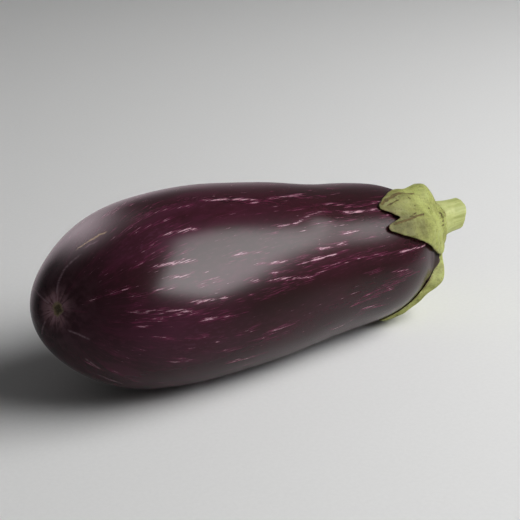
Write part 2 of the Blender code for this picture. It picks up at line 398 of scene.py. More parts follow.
def read_table(table, value, period=None):
    """A table's second column, where its first is value."""
    return np.interp(value, *np.transpose(table), period=period)


def add_object(name, data):
    """A new object in the scene, with this mesh, light or camera."""
    made = bpy.data.objects.new(name, data)
    bpy.context.scene.collection.objects.link(made)
    return made


def lofted(name, rings, attributes, bake_rows, material):
    """A closed piece from rings of points, with values carried on them and a map for baking.

    rings is rows x sides x 3. Each attribute is rows x sides or rows x sides x 3. bake_rows is the
    height of each row in the map, from 0 to 1.
    """
    rows, sides = rings.shape[:2]
    count = rows * sides
    tips = np.array([rings[0].mean(0), rings[-1].mean(0)])
    points = np.vstack([rings.reshape(-1, 3), tips])
    index = np.arange(count).reshape(rows, sides)
    beside = np.roll(index, -1, axis=1)
    quads = np.stack([index[:-1], beside[:-1], beside[1:], index[1:]], axis=-1).reshape(-1, 4)
    first = np.stack([beside[0], index[0], np.full(sides, count)], axis=-1)
    last = np.stack([index[-1], beside[-1], np.full(sides, count + 1)], axis=-1)
    mesh = bpy.data.meshes.new(name)
    mesh.from_pydata(points.tolist(), [], quads.tolist() + first.tolist() + last.tolist())
    # The map: across is the way round, up is the row.
    across = np.arange(sides + 1) / sides
    side = np.tile(np.arange(sides), rows - 1)
    low = np.repeat(bake_rows[:-1], sides)
    high = np.repeat(bake_rows[1:], sides)
    left, right = across[side], across[side + 1]
    quad_map = np.stack([left, low, right, low, right, high, left, high], axis=-1).reshape(-1)
    ends = []
    for row, tip, order in ((bake_rows[0], 0, -1), (bake_rows[-1], 1, 1)):
        begin, end = (across[:-1], across[1:])[::order]
        edge = np.full(sides, row)
        corners = [begin, edge, end, edge, (begin + end) / 2, np.full(sides, tip)]
        ends.append(np.stack(corners, axis=-1).reshape(-1))
    layer = mesh.uv_layers.new(name="OFBake")
    layer.data.foreach_set("uv", np.concatenate([quad_map, *ends]).astype(np.float32))
    for key, values in attributes.items():
        flat = values.reshape(count, -1)
        tip_values = [values[row].reshape(sides, -1).mean(0) for row in (0, -1)]
        full = np.vstack([flat, *tip_values]).astype(np.float32)
        kind, field = ("FLOAT_VECTOR", "vector") if full.shape[1] == 3 else ("FLOAT", "value")
        mesh.attributes.new(key, kind, "POINT").data.foreach_set(field, full.ravel())
    mesh.shade_smooth()
    mesh.validate()
    mesh.materials.append(material)
    return add_object(name, mesh)


def grey(level):
    return (level,) * 3


class Nodes:
    """Builds nodes in one tree. A value given for a socket is a number, a colour or an output."""

    def __init__(self, tree):
        self.tree = tree

    def put(self, socket, value):
        if isinstance(value, bpy.types.NodeSocket):
            self.tree.links.new(value, socket)
        elif isinstance(value, tuple) and len(value) == 3 and socket.type == "RGBA":
            socket.default_value = (*value, 1)
        else:
            socket.default_value = value

    def node(self, kind, settings=(), **values):
        made = self.tree.nodes.new("ShaderNode" + kind)
        for key, value in dict(settings).items():
            setattr(made, key, value)
        for key, value in values.items():
            self.put(made.inputs[key.replace("_", " ")], value)
        return made

    def value(self, name):
        return self.node("Attribute", {"attribute_name": name}).outputs["Fac"]

    def vector(self, name):
        return self.node("Attribute", {"attribute_name": name}).outputs["Vector"]

    def combine(self, kind, operation, *values):
        made = self.node(kind, {"operation": operation})
        for socket, value in zip(made.inputs, values):
            self.put(socket, value)
        return made.outputs

    def maths(self, operation, *values):
        return self.combine("Math", operation, *values)[0]

    def vector_maths(self, operation, *values):
        """The outputs Vector and Value."""
        return self.combine("VectorMath", operation, *values)

    def times(self, first, second):
        return self.maths("MULTIPLY", first, second)

    def plus(self, first, second):
        return self.maths("ADD", first, second)

    def parts(self, vector):
        """The outputs X, Y and Z of a vector."""
        return self.node("SeparateXYZ", Vector=vector).outputs

    def scaled(self, vector, scale):
        scale = scale if isinstance(scale, tuple) else (scale,) * 3
        return self.vector_maths("MULTIPLY", vector, scale)["Vector"]

    def noise(self, vector, scale, detail=2, roughness=0.5, distortion=0):
        """Noise from about 0.25 to 0.75, in cells of 1 / scale along each axis or all three."""
        return self.node(
            "TexNoise", Vector=self.scaled(vector, scale), Scale=1, Detail=detail,
            Roughness=roughness, Distortion=distortion,
        ).outputs["Fac"]

    def span(self, value, low, high, start=0, end=1):
        """Start below low and end above high, with a smooth change between."""
        return self.node(
            "MapRange", {"interpolation_type": "SMOOTHSTEP"}, Value=value,
            From_Min=low, From_Max=high, To_Min=start, To_Max=end,
        ).outputs["Result"]

    def fade(self, value, low, high):
        """From 1 below low down to 0 above high."""
        return self.span(value, low, high, 1, 0)

    def mix(self, share, first, second, blend="MIX"):
        made = self.node("Mix", {"data_type": "RGBA", "blend_type": blend})
        for index, value in ((0, share), (6, first), (7, second)):
            self.put(made.inputs[index], value)
        return made.outputs[2]

    def layers(self, colour, *coats):
        """The colour under coats, each given by how far it covers and its own colour."""
        for share, coat in coats:
            colour = self.mix(share, colour, coat)
        return colour

    def tinted(self, share, colour, tint):
        """The colour, darkened by a tint as far as share says."""
        return self.mix(share, colour, self.mix(1, colour, tint, "MULTIPLY"))

    def bump(self, height, distance, strength=1, normal=None):
        made = self.node("Bump", Height=height, Distance=distance, Strength=strength)
        if normal is not None:
            self.put(made.inputs["Normal"], normal)
        return made.outputs["Normal"]


class Shader(Nodes):
    """One material. finish gives its surface the values that it ends up with."""

    def __init__(self, name):
        self.material = bpy.data.materials.new(name)
        self.material.use_nodes = True
        super().__init__(self.material.node_tree)
        self.surface = self.tree.nodes["Principled BSDF"]

    def finish(self, **values):
        for key, value in values.items():
            self.put(self.surface.inputs[key.replace("_", " ")], value)
        return self.material


def scar_axes():
    """The scar's place and angle, and the directions outward, sideways and up the skin there."""
    places, angles = np.linspace(0.02, 0.15, 60), np.radians(np.arange(100, 190))
    places, angles = np.meshgrid(places, angles, indexing="ij")
    gaps = np.linalg.norm(skin(places, angles) - SCAR_PLACE, axis=-1)
    nearest = np.unravel_index(gaps.argmin(), gaps.shape)
    place, angle = places[nearest], angles[nearest]
    normal = skin_normal(place, angle)
    sideways = np.cross(normal, (0, 0, 1))
    sideways /= np.linalg.norm(sideways)
    return place, angle, normal, sideways, np.cross(sideways, normal)


def flow_coordinates(place, angle, scar_place, scar_angle):
    """Where a point lies along and round the fruit, in millimetres, with the marks from the scar.

    The points are turned on a unit ball so that the scar becomes its pole, less and less towards
    the stem. The way round comes out as a point on a circle, so that it has no seam.
    """
    ball = round_axis(-np.cos(np.pi * place), np.sin(np.pi * place), angle)
    lean = np.pi * scar_place * (1 - smooth_step(0.1, 0.55, place))
    # The scar leans from the pole towards its own angle, so it is turned back the other way.
    outward = np.array([0, math.cos(scar_angle), math.sin(scar_angle)])
    level = np.cross((1, 0, 0), outward)
    along, out, side = ball[..., 0], ball @ outward, ball @ level
    turned_along = along * np.cos(lean) - out * np.sin(lean)
    turned_out = along * np.sin(lean) + out * np.cos(lean)
    round_way = turned_out[..., None] * outward[1:] + side[..., None] * level[1:]
    round_way /= np.linalg.norm(round_way, axis=-1, keepdims=True) + 1e-9
    distance = np.arccos(np.clip(-turned_along, -1, 1)) / np.pi * FRUIT_LENGTH / MM
    turn = THREAD_SLANT * distance / SKIN_RADIUS
    first, second = np.moveaxis(round_way * SKIN_RADIUS, -1, 0)
    turned_first = first * np.cos(turn) - second * np.sin(turn)
    turned_second = first * np.sin(turn) + second * np.cos(turn)
    return np.stack([distance, turned_first, turned_second], axis=-1)


def from_place(points, angle, far, degrees):
    """How far points are along and round the skin from a place on it, in millimetres."""
    along = (points[..., 0] - BLOSSOM_X) / MM - far
    return along, np.radians(angle_between(angle, degrees)) * SKIN_RADIUS


def brush_weight(points, angle):
    """How strongly each point of the skin is brushed, by BRUSH_MARKS."""
    weight = np.zeros(points.shape[:-1])
    from_end = (points[..., 0] - BLOSSOM_X) / MM
    for start, angle_1, end, angle_2, strength in BRUSH_MARKS:
        middle = np.interp(from_end, (start, end), (angle_1, angle_2))
        aside = np.radians(angle_between(angle, middle)) * SKIN_RADIUS / BRUSH_HALF_WIDTH
        begun = smooth_step(start - 2.5, start + 1.5, from_end)
        ended = smooth_step(end - 1.5, end + 2.5, from_end)
        weight = np.maximum(weight, strength * begun * (1 - ended) * np.exp(-(aside**2)))
    return weight


def patch_weight(points, angle, patches):
    """How strongly each point of the skin is covered by soft patches, as in BLUSHES."""
    weight = np.zeros(points.shape[:-1])
    for degrees, middle, half_length, half_width, strength in patches:
        along, aside = from_place(points, angle, middle, degrees)
        gap = (along / half_length) ** 2 + (aside / half_width) ** 2
        weight = np.maximum(weight, strength * np.exp(-gap))
    return weight


def swelling(angle, walked, shape):
    """The height of one swelling as in RIDGES, walked millimetres from the stem end."""
    middle, peak, half_angle, half_length, rise = shape
    around = angle_between(angle, middle) / half_angle
    return rise * MM * np.exp(-(around**2) - ((walked - peak) / half_length) ** 2)


def from_stem(points):
    """How far each point of the skin's rows lies from the stem end, along its own line."""
    steps = np.linalg.norm(np.diff(points, axis=0), axis=-1)
    walked = np.cumsum(steps[::-1], axis=0)[::-1]
    return np.concatenate([walked, np.zeros((1, points.shape[1]))])


def make_fruit():
    """The fruit's skin: the CAD shape with slight unevenness, the scar's pit and the flat spot."""
    places = np.concatenate([
        np.linspace(0, FRUIT_SCAR_SHARE, FRUIT_SCAR_ROWS, endpoint=False)[1:],
        np.linspace(FRUIT_SCAR_SHARE, 1, FRUIT_ROWS - FRUIT_SCAR_ROWS + 1)[:-1],
    ])
    angles = np.arange(FRUIT_SIDES) * 2 * math.pi / FRUIT_SIDES - math.pi / 2
    place, angle = np.meshgrid(places, angles, indexing="ij")
    points = skin(place, angle)
    normals = skin_normal(place, angle)
    scar_place, scar_angle, outward, sideways, upward = scar_axes()
    from_scar = points - SCAR_PLACE
    distance = np.linalg.norm(from_scar, axis=-1)
    dimple = SCAR_DEPTH * np.exp(-((distance / SCAR_RADIUS) ** 2))
    rim = SCAR_RIM_HEIGHT * np.exp(-(((distance - SCAR_RIM_RADIUS) / SCAR_RIM_WIDTH) ** 2))
    uneven = unevenness(points, FRUIT_UNEVENNESS) * smooth_step(0, 0.1, place)
    for degrees, far, radius, height in SKIN_BUMPS:
        along, aside = from_place(points, angle, far, degrees)
        uneven = uneven + height * MM * np.exp(-(aside**2 + along**2) / radius**2)
    # The skin fills out under the proud lobe, and bulges and creases in the notch beside it.
    walked = from_stem(points) / MM
    covered = smooth_step(1.5, 5, margin_distance(np.degrees(angle)) / MM - walked)
    under_lobe = SHOULDER_FILL * covered * sum(swelling(angle, walked, r) for r in SHOULDER_LOBE)
    lift = np.maximum(under_lobe, swelling(angle, walked, NOTCH_BULGE))
    lift = lift + swelling(angle, walked, CREASE)
    points = points + normals * (uneven - dimple + rim + lift)[..., None]
    points[..., 2] = np.maximum(points[..., 2], 0)
    scar = np.stack([from_scar @ axis for axis in (sideways, upward, outward)], axis=-1) / MM
    middle, half_angle, start, full = CREVICE
    crevice = np.exp(-((angle_between(angle, middle) / half_angle) ** 2))
    attributes = {
        "flow": flow_coordinates(place, angle, scar_place, scar_angle),
        "brush": brush_weight(points, angle),
        "blush": patch_weight(points, angle, BLUSHES),
        "brown": patch_weight(points, angle, BROWN_PATCHES),
        "scar": scar,
        "scratch": scratch_coordinates(points, angle),
        "lines": scar_line_weight(scar),
        # Where the skin beside the lifted lobe is painted dark as shade.
        "crevice": smooth_step(start, full, walked) * crevice,
    }
    heights = 0.004 + 0.992 * (places - places[0]) / (places[-1] - places[0])
    return lofted("fruit_skin", points, attributes, heights, fruit_material())


def scratch_coordinates(points, angle):
    """Along and across the scratch in millimetres. The third value is always 0."""
    along, across = from_place(points, angle, SCRATCH_MIDDLE, SCRATCH_ANGLE)
    across = across * SCRATCH_RADIUS_SHARE + SCRATCH_SLANT * along
    return np.stack([along, across, 0 * along], axis=-1)


def line_gap(across, up, path):
    """How far each point lies from a line through the points of a path."""
    gaps = []
    for start, end in zip(path[:-1], path[1:]):
        step = np.subtract(end, start)
        from_start, up_start = across - start[0], up - start[1]
        share = np.clip((from_start * step[0] + up_start * step[1]) / (step @ step), 0, 1)
        gaps.append(np.hypot(from_start - share * step[0], up_start - share * step[1]))
    return np.min(gaps, axis=0)


def scar_line_weight(scar):
    """How strongly each point is marked by SCAR_LINES, from its coordinates at the scar."""
    gap = np.min([line_gap(scar[..., 0], scar[..., 1], path) for path in SCAR_LINES], axis=0)
    on_end = smooth_step(-SCAR_LINE_DEPTH - 2, -SCAR_LINE_DEPTH + 2, scar[..., 2])
    return np.exp(-((gap / SCAR_LINE_HALF_WIDTH) ** 2)) * on_end


def skin_ground(s, flow, along):
    """Blackish at the blossom end, maroon purple along the body, in soft patches and clouds."""
    broad = s.noise(flow, (0.03, 0.06, 0.06), 2)
    mottle = s.span(s.noise(flow, (0.35, 0.8, 0.8), 3, 0.6), 0.5, 0.66, 0, 0.35)
    mottle = s.times(mottle, s.span(along, 8, 35, 0.2, 1))
    clouds = s.noise(flow, (0.035, 0.09, 0.09), 3, 0.6)
    clouds = s.plus(clouds, s.span(along, 15, 40, -0.12, 0.03))
    haze = s.times(s.span(clouds, 0.48, 0.66, 0, 0.6), s.span(along, 60, 105, 1, 0.35))
    patchy = s.span(s.plus(broad, mottle), 0.3, 0.7, 0.35, 0.9)
    return s.layers(
        s.mix(s.span(along, 5, 60), SKIN_BLACKISH, SKIN_MAROON),
        (s.span(along, 100, 150, 0, 0.6), SKIN_STEM_END),
        (s.span(broad, 0.42, 0.62, 0, 0.55), SKIN_DARK_PATCH),
        (mottle, SKIN_MOTTLE),
        (haze, SKIN_HAZE),
        (s.times(s.value("blush"), patchy), SKIN_BLUSH),
        (s.times(s.value("brown"), 0.85), SKIN_BROWN),
    )


def skin_dashes(s, flow, along):
    """Where thin threads run along the fruit: their magenta halo and their pale core.

    They are thick where the skin is brushed and in a few scattered clusters, and thin elsewhere.
    """
    scattered = s.span(s.noise(flow, (0.045, 0.22, 0.22), 2, 0.5), 0.57, 0.72, 0, 0.38)
    scattered = s.times(scattered, s.span(along, 20, 50))
    scattered = s.times(scattered, s.span(s.value("brown"), 0.2, 0.8, 1, 0.2))
    weight = s.maths("MAXIMUM", s.value("brush"), scattered)
    threads = s.noise(flow, (0.2, 2.6, 2.6), 3, 0.55, 0.2)
    around = s.times(s.maths("POWER", weight, 0.3), 0.24)
    halo = s.times(s.span(s.plus(threads, around), 0.62, 0.8), s.span(along, 8, 30))
    raised = s.plus(threads, s.times(weight, 0.28))
    raised = s.plus(raised, s.span(along, 8, 30, -0.1, 0))
    grain = s.noise(flow, (0.9, 4, 4), 2, 0.6)
    return halo, s.times(s.span(raised, 0.7, 0.78), s.span(grain, 0.32, 0.6, 0.3, 1))


def scratched(s, colour):
    """The colour with a dry tan scratch, and a short pale line beside it."""
    scratch = s.vector("scratch")
    place = s.parts(scratch)
    wobble = s.times(s.maths("SUBTRACT", s.noise(scratch, (0.5, 0.2, 1), 2), 0.5), 1.6)
    across = s.plus(place["Y"], wobble)
    far = s.maths("ABSOLUTE", place["X"])
    aside = s.maths("ABSOLUTE", across)
    tan_line = s.times(s.fade(far, 4.2, 6.2), s.fade(aside, 0.15, 0.55))
    beside = s.maths("ABSOLUTE", s.maths("SUBTRACT", across, 2.1))
    before = s.maths("ABSOLUTE", s.plus(place["X"], 1.2))
    pale_line = s.times(s.span(before, 1.2, 3.2, 0.45, 0), s.fade(beside, 0.1, 0.5))
    return s.layers(colour, (pale_line, SCRATCH_PALE), (s.times(tan_line, 0.85), SCRATCH_TAN))


def scarred(s, colour):
    """The colour with the scar's markings, and how corky the skin is there.

    A pale lilac bloom in rays and fine lines surround a tan rim and an olive-brown middle.
    """
    scar = s.vector("scar")
    place = s.parts(scar)
    flat = s.scaled(scar, (1, 1, 0))
    reach = s.vector_maths("LENGTH", flat)["Value"]
    front = s.span(place["Z"], -40, -20)
    rays = s.noise(s.vector_maths("NORMALIZE", flat)["Vector"], 5.5, 4, 0.75)
    wash = s.noise(scar, 0.22, 3, 0.6)
    near = s.times(s.fade(reach, 2.5, 10), s.span(place["X"], -7, 1, 0.25, 1))
    bloom = s.times(s.times(near, front), s.span(s.plus(rays, wash), 0.8, 1.16, 0.15, 1))
    fog = s.times(s.span(reach, 4, 24, 0.38, 0), front)
    broken = s.span(s.noise(scar, 0.8, 3, 0.7), 0.3, 0.6, 0.1, 0.6)

    # A rounded diamond, about 2.5 mm wide and 2.7 mm tall each way, with a ragged edge.
    sides = s.parts(s.vector_maths("ABSOLUTE", flat)["Vector"])
    wide = s.maths("POWER", s.maths("DIVIDE", sides["X"], 2.5), 1.3)
    tall = s.maths("POWER", s.maths("DIVIDE", sides["Y"], 2.7), 1.3)
    ragged = s.span(s.noise(scar, 0.7, 4, 0.65), 0.3, 0.7, -0.3, 0.3)
    diamond = s.plus(s.plus(wide, tall), ragged)
    diamond = s.plus(diamond, s.maths("SUBTRACT", 1, front))
    pith = s.span(s.noise(scar, 2.2, 3, 0.6), 0.4, 0.65)
    colour = s.layers(
        colour,
        (s.times(bloom, 0.9), SCAR_BLOOM),
        (s.times(fog, s.span(wash, 0.35, 0.65)), SCAR_FOG),
        (s.times(s.value("lines"), broken), SCAR_LINE),
        (s.fade(diamond, 0.9, 1.3), SCAR_TAN_RIM),
        (s.fade(diamond, 0.5, 0.85), s.mix(pith, SCAR_PITH_DARK, SCAR_PITH_LIGHT)),
    )
    return colour, s.fade(diamond, 0.9, 1.25)


def fruit_material():
    """Near-black purple wax skin with pale brushed dashes, a dry scratch and the blossom's scar."""
    s = Shader("fruit_skin")
    flow = s.vector("flow")
    along = s.parts(flow)["X"]
    halo, core = skin_dashes(s, flow, along)
    colour = s.layers(
        skin_ground(s, flow, along), (s.times(halo, 0.75), DASH_HALO), (core, DASH_CORE)
    )
    colour, corky = scarred(s, scratched(s, colour))
    # Painted shade with a dry brown tint on the skin where the calyx lifts off it, which is also
    # dull.
    crevice = s.value("crevice")
    colour = s.mix(s.times(crevice, 0.85), colour, SKIN_CREVICE_SHADE_AND_DRY)

    roughness = s.mix(s.times(core, 0.6), grey(0.22), grey(0.32))
    roughness = s.mix(s.maths("MAXIMUM", corky, crevice), roughness, grey(0.8))
    relief = s.bump(s.noise(flow, (1.2, 2.2, 2.2), 2), 0.00002, 0.5)
    rough_scar = s.times(s.noise(s.vector("scar"), 2, 4, 0.7), corky)
    relief = s.bump(rough_scar, 0.0006, 1, relief)
    return s.finish(Base_Color=colour, Roughness=roughness, IOR=1.35, Normal=relief)


def margin_distance(degrees):
    """How far the calyx reaches from the stem end, with soft corners and a slightly uneven edge."""
    offsets = np.linspace(-MARGIN_REACH, MARGIN_REACH, 9)
    weights = np.exp(-((offsets / MARGIN_SOFTNESS) ** 2))
    total = 0
    for offset, weight in zip(offsets, weights):
        total = total + weight * read_table(MARGIN, degrees + offset, period=360)
    turns = np.radians(degrees)
    uneven = sum(height * np.sin(count * turns + shift) for height, count, shift in MARGIN_WAVES)
    return (total / weights.sum() + uneven) * MM


def places_from_stem(angles):
    """For each angle, the places along the skin and how far each lies from the stem end."""
    places = np.linspace(1, 0.4, 160)
    lines = skin(places[None, :], angles[:, None])
    steps = np.linalg.norm(np.diff(lines, axis=1), axis=2)
    return places, np.concatenate([np.zeros((len(angles), 1)), np.cumsum(steps, axis=1)], axis=1)


def calyx_height(distance, degrees, to_margin):
    """How high the calyx stands over the skin: its base height and the lobes' midribs."""
    angle, walked = np.radians(degrees), distance / MM
    inward = smooth_step(0, HUG_REACH, to_margin)
    hugging = np.exp(-((angle_between(angle, SHOULDER_LOBE[1][0]) / HUG_HALF_ANGLE) ** 2))
    height = read_table(OUTER_HEIGHT, walked) * MM * (1 - HUG_SHARE * hugging * (1 - inward))
    for ridge in RIDGES:
        near_edge = inward if ridge in SHOULDER_LOBE else 1
        height = height + swelling(angle, walked, ridge) * near_edge
    return height


def calyx_side(outside, degrees, margin):
    """The rings of the calyx's outer or inner side, and the values carried on their points."""
    angles = np.radians(degrees)
    places, walked = places_from_stem(angles)
    if outside:
        share = 0.02 + 0.98 * np.sin(np.linspace(0, 1, CALYX_OUTER_ROWS) * math.pi / 2) ** 0.9
    else:
        share = np.linspace(0.02, 1, CALYX_INNER_ROWS)[-2::-1]
    share = share[:, None]
    distance = NOTCH_DISTANCE * share + (margin - NOTCH_DISTANCE) * share**3
    place = np.transpose([np.interp(far, line, places) for far, line in zip(distance.T, walked)])
    foot, normal = skin(place, angles), skin_normal(place, angles)
    to_margin = (margin - distance) / MM
    height = calyx_height(distance, degrees, to_margin)
    thickness = read_table(THICKNESS, distance / MM) * MM
    thinning = 0.4 + 0.6 * np.sqrt(np.clip(to_margin / 6, 0, 1))
    inner = np.maximum(height - thickness * thinning, CALYX_GAP)
    if outside:
        rounding = np.sqrt(1 - (1 - np.clip(to_margin / 0.8, 0, 1)) ** 2)
        outer = inner + (height - inner) * (0.25 + 0.75 * rounding)
        ring = round_axis(0 * distance, distance, angles)
        neck = smooth_step(NECK_INNER, NECK_OUTER, distance)[..., None]
        surface = (STEM_BASE + ring) * (1 - neck) + (foot + normal * outer[..., None]) * neck
        fine = unevenness(np.roll(ring, -1, axis=-1), CALYX_UNEVENNESS)
        fading = np.exp(-(((distance - FOLD_DISTANCE) / FOLD_REACH) ** 2))
        folds = FOLD_HEIGHT * np.sin(angles * FOLDS + 2 * np.sin(angles * 5)) * fading
        surface = surface + normal * ((fine + folds) * smooth_step(0, 3, to_margin))[..., None]
    else:
        surface = foot + normal * inner[..., None]
    return surface, {
        "leaf": round_axis(distance / MM, LEAF_RADIUS, angles),
        "edge": to_margin,
        "cork": corky_weight(distance, degrees),
        # Where the calyx is darkened with painted shade spots.
        "spot_shade": spot_weight(distance, degrees, SHADE_SPOTS),
        "outer": np.full(distance.shape, float(outside)),
    }


def make_calyx():
    """The green cap: a star of fleshy lobes with a rounded, slightly uneven margin."""
    degrees = np.arange(CALYX_SIDES) * 360 / CALYX_SIDES - 90
    margin = margin_distance(degrees)
    rings, carried = zip(*(calyx_side(outside, degrees, margin) for outside in (True, False)))
    attributes = {key: np.concatenate([side[key] for side in carried]) for key in carried[0]}
    heights = np.concatenate([
        np.linspace(0.004, 0.72, CALYX_OUTER_ROWS), np.linspace(0.72, 0.996, CALYX_INNER_ROWS)[1:]
    ])
    return lofted("calyx_cap", np.concatenate(rings), attributes, heights, calyx_material())


def lobe_width(degrees, middle):
    """How far each angle is to the side of a middle, in millimetres along the lobes."""
    return (angle_between(np.radians(degrees), middle) * np.radians(1) * LOBE_RADIUS)[None, :]


def corky_weight(distance, degrees):
    """How corky each point of the calyx is, from 0 to 1."""
    weight = CORKY_SPOT_STRENGTH * spot_weight(distance, degrees, CORKY_SPOTS)
    for half_width, strength, path in CORKY_LINES:
        first = path[0][1]
        points = [(far, (turn - first) * np.radians(1) * LOBE_RADIUS) for far, turn in path]
        gap = line_gap(distance / MM, lobe_width(degrees, first), points)
        weight = np.maximum(weight, strength * np.exp(-((gap / half_width) ** 2)))
    return weight


def spot_weight(distance, degrees, spots):
    """How strongly each point of the calyx is covered by round spots, from 0 to 1."""
    weight = 0 * distance
    for far, turn, radius in spots:
        aside = lobe_width(degrees, turn)
        weight = np.maximum(weight, np.exp(-((distance / MM - far) ** 2 + aside**2) / radius**2))
    return weight


def calyx_material():
    """Yellow-green leaf flesh with soft veins, brown corky marks on the ribs and a dry edge."""
    s = Shader("calyx_green")
    leaf = s.vector("leaf")
    place = s.node("TexCoord").outputs["Object"]
    patches = s.noise(place, 110, 3, 0.6)
    veins = s.noise(leaf, (0.09, 1.3, 1.3), 3, 0.6)
    colour = s.layers(
        s.mix(s.span(patches, 0.36, 0.64), LEAF_DARK, LEAF_LIGHT),
        (s.span(veins, 0.52, 0.68, 0, 0.45), LEAF_VEIN),
        (s.span(veins, 0.34, 0.46, 0.35, 0), LEAF_FURROW),
        (s.span(s.noise(place, 750, 3, 0.65), 0.4, 0.66, 0, 0.45), LEAF_GRAIN),
        (s.span(s.noise(place, 1150, 2, 0.7), 0.56, 0.68, 0, 0.6), LEAF_SPECK),
    )
    # Painted shade: the upper lobes are darkened and made more olive towards their tips.
    place_on_leaf = s.parts(leaf)
    upper = s.span(place_on_leaf["Z"], -4, 8, 0.35, 1)
    tip_shade = s.times(s.span(place_on_leaf["X"], 28, 56), upper)
    colour = s.tinted(tip_shade, colour, LEAF_TIP_SHADE_TINT)
    # Painted shade: olive spots darken the shaded side below the midribs.
    colour = s.tinted(s.times(s.value("spot_shade"), 0.8), colour, LEAF_SPOT_SHADE_TINT)
    # Cork breaks up along threads and in grains, and the very edge is dry.
    threads = s.noise(leaf, (0.35, 2.2, 2.2), 4, 0.7)
    rough = s.noise(place, 420, 4, 0.7)
    ragged = s.plus(s.times(threads, 0.6), s.times(rough, 0.6))
    corky = s.span(s.plus(s.times(s.value("cork"), 0.44), ragged), 0.82, 0.9)
    at_edge = s.fade(s.value("edge"), 0.1, 1.5)
    dry = s.times(at_edge, s.span(rough, 0.42, 0.6))
    colour = s.layers(
        colour,
        (s.times(corky, 0.85), s.mix(s.span(rough, 0.4, 0.6), CORK_TAN, CORK_DARK)),
        (s.times(dry, 0.8), LEAF_DRY_EDGE),
    )
    colour = s.mix(s.value("outer"), LEAF_INSIDE, colour)
    roughness = s.mix(corky, grey(0.6), grey(0.85))
    relief = s.bump(veins, 0.0004, 0.6)
    relief = s.bump(rough, 0.0002, 0.5, relief)
    relief = s.bump(corky, 0.0004, 0.8, relief)
    return s.finish(
        Base_Color=colour, Roughness=roughness, IOR=1.28, Normal=relief,
        Subsurface_Weight=0.08, Subsurface_Radius=(0.002, 0.003, 0.001), Subsurface_Scale=1,
    )


def make_stem():
    """The stem: ridged lengthwise, with a rounded rim and a cut face with a slightly sunk pith."""
    turns = np.arange(STEM_SIDES) * 2 * math.pi / STEM_SIDES
    # Share of the way to the tip, width as a share of the radius, and depth below the tip in mm.
    profile = [(-0.02, 0.55, 0), (-0.02, 0.9, 0)]
    for share in np.linspace(0, 0.93, 44):
        profile.append((share, 1 - 0.03 * math.sin(math.pi * share), 0))
    for bend in np.linspace(0, 1, 12)[1:] * math.pi / 2:
        profile.append((0.93 + 0.07 * math.sin(bend), 1 - 0.12 * (1 - math.cos(bend)), 0))
    profile += [(1, width, depth) for width, depth in CUT_FACE]
    rings, stalk = [], []
    for share, width, depth in profile:
        middle = STEM_BASE + (STEM_TIP - STEM_BASE) * share - (depth * MM, 0, 0)
        radius = (STEM_BASE_RADIUS + (STEM_TIP_RADIUS - STEM_BASE_RADIUS) * share) * width
        radius *= 1 + STEM_FLARE * math.exp(-max(share, 0) / STEM_FLARE_LENGTH)
        ridges = 1
        for count, height, shift, twist in STEM_RIDGES:
            ridges = ridges + height * np.cos(count * turns + shift + twist * share)
        ring = radius * ridges
        lean = STEM_SLANT * share * ring * np.sin(turns)
        rings.append(middle + round_axis(lean, ring, turns))
        stalk.append(round_axis(STALK_LENGTH * share, STALK_RADIUS * width, turns))
    rings, stalk = np.array(rings), np.array(stalk)
    # The unevenness is drawn out along the stem.
    wobble = unevenness(rings * (0.4, 1, 1), STEM_UNEVENNESS)
    out = rings - rings.mean(axis=1, keepdims=True)
    rings = rings + wobble[..., None] * out / (np.linalg.norm(out, axis=-1, keepdims=True) + 1e-9)
    cut = np.array([float(share >= 0.999 or width < 0.95) for share, width, _ in profile])
    cut = np.repeat(cut[:, None], STEM_SIDES, axis=1)
    heights = np.linspace(0.01, 0.99, len(profile))
    return lofted("stem_stalk", rings, {"stalk": stalk, "cut": cut}, heights, stem_material())


def stem_material():
    """Pale yellow-green stalk with lengthwise fibres, and a dry cut face with a paler pith."""
    s = Shader("stem_green")
    stalk = s.vector("stalk")
    cut = s.value("cut")
    place = s.node("TexCoord").outputs["Object"]
    fibres = s.noise(stalk, (0.1, 0.9, 0.9), 3, 0.55)
    patches = s.noise(place, 130, 3, 0.6)
    specks = s.noise(place, 700, 3, 0.7)
    ring = s.times(s.fade(s.parts(stalk)["X"], 0, 2.2), s.span(specks, 0.44, 0.6))
    colour = s.layers(
        s.mix(s.span(fibres, 0.34, 0.66), STALK_DARK, STALK_LIGHT),
        (s.span(patches, 0.45, 0.68, 0, 0.6), STALK_PALE),
        (s.span(specks, 0.6, 0.72, 0, 0.5), STALK_SPECK),
        (s.times(ring, 0.7), STALK_FOOT),
    )
    # The cut face, by the distance from its middle.
    across = s.vector_maths("LENGTH", s.scaled(stalk, (0, 1, 1)))["Value"]
    face = s.layers(
        s.mix(s.span(across, 3, 4.4), CUT_PITH, CUT_FLESH),
        (s.span(across, 5.6, 6.6), CUT_RIM),
        (s.span(s.noise(place, 1300, 3, 0.7), 0.48, 0.66, 0, 0.6), CUT_CELLS),
    )
    colour = s.mix(cut, colour, face)
    roughness = s.mix(cut, grey(0.5), grey(0.85))
    relief = s.bump(fibres, 0.0002, 0.6)
    relief = s.bump(specks, 0.0002, 0.5, relief)
    return s.finish(Base_Color=colour, Roughness=roughness, IOR=1.3, Normal=relief)


def direction(azimuth, elevation):
    """The unit vector at an azimuth from +X towards +Y and an elevation, both in degrees."""
    a, e = math.radians(azimuth), math.radians(elevation)
    return Vector((math.cos(a) * math.cos(e), math.sin(a) * math.cos(e), math.sin(e)))


def make_camera():
    data = bpy.data.cameras.new("camera")
    data.angle = math.radians(CAMERA_FIELD)
    camera = add_object("camera", data)
    back, right = direction(CAMERA_AZIMUTH - 90, CAMERA_ELEVATION), direction(CAMERA_AZIMUTH, 0)
    turn = Matrix((right, back.cross(right), back)).transposed()
    camera.matrix_world = Matrix.Translation(CAMERA_PLACE) @ turn.to_4x4()
    bpy.context.scene.camera = camera


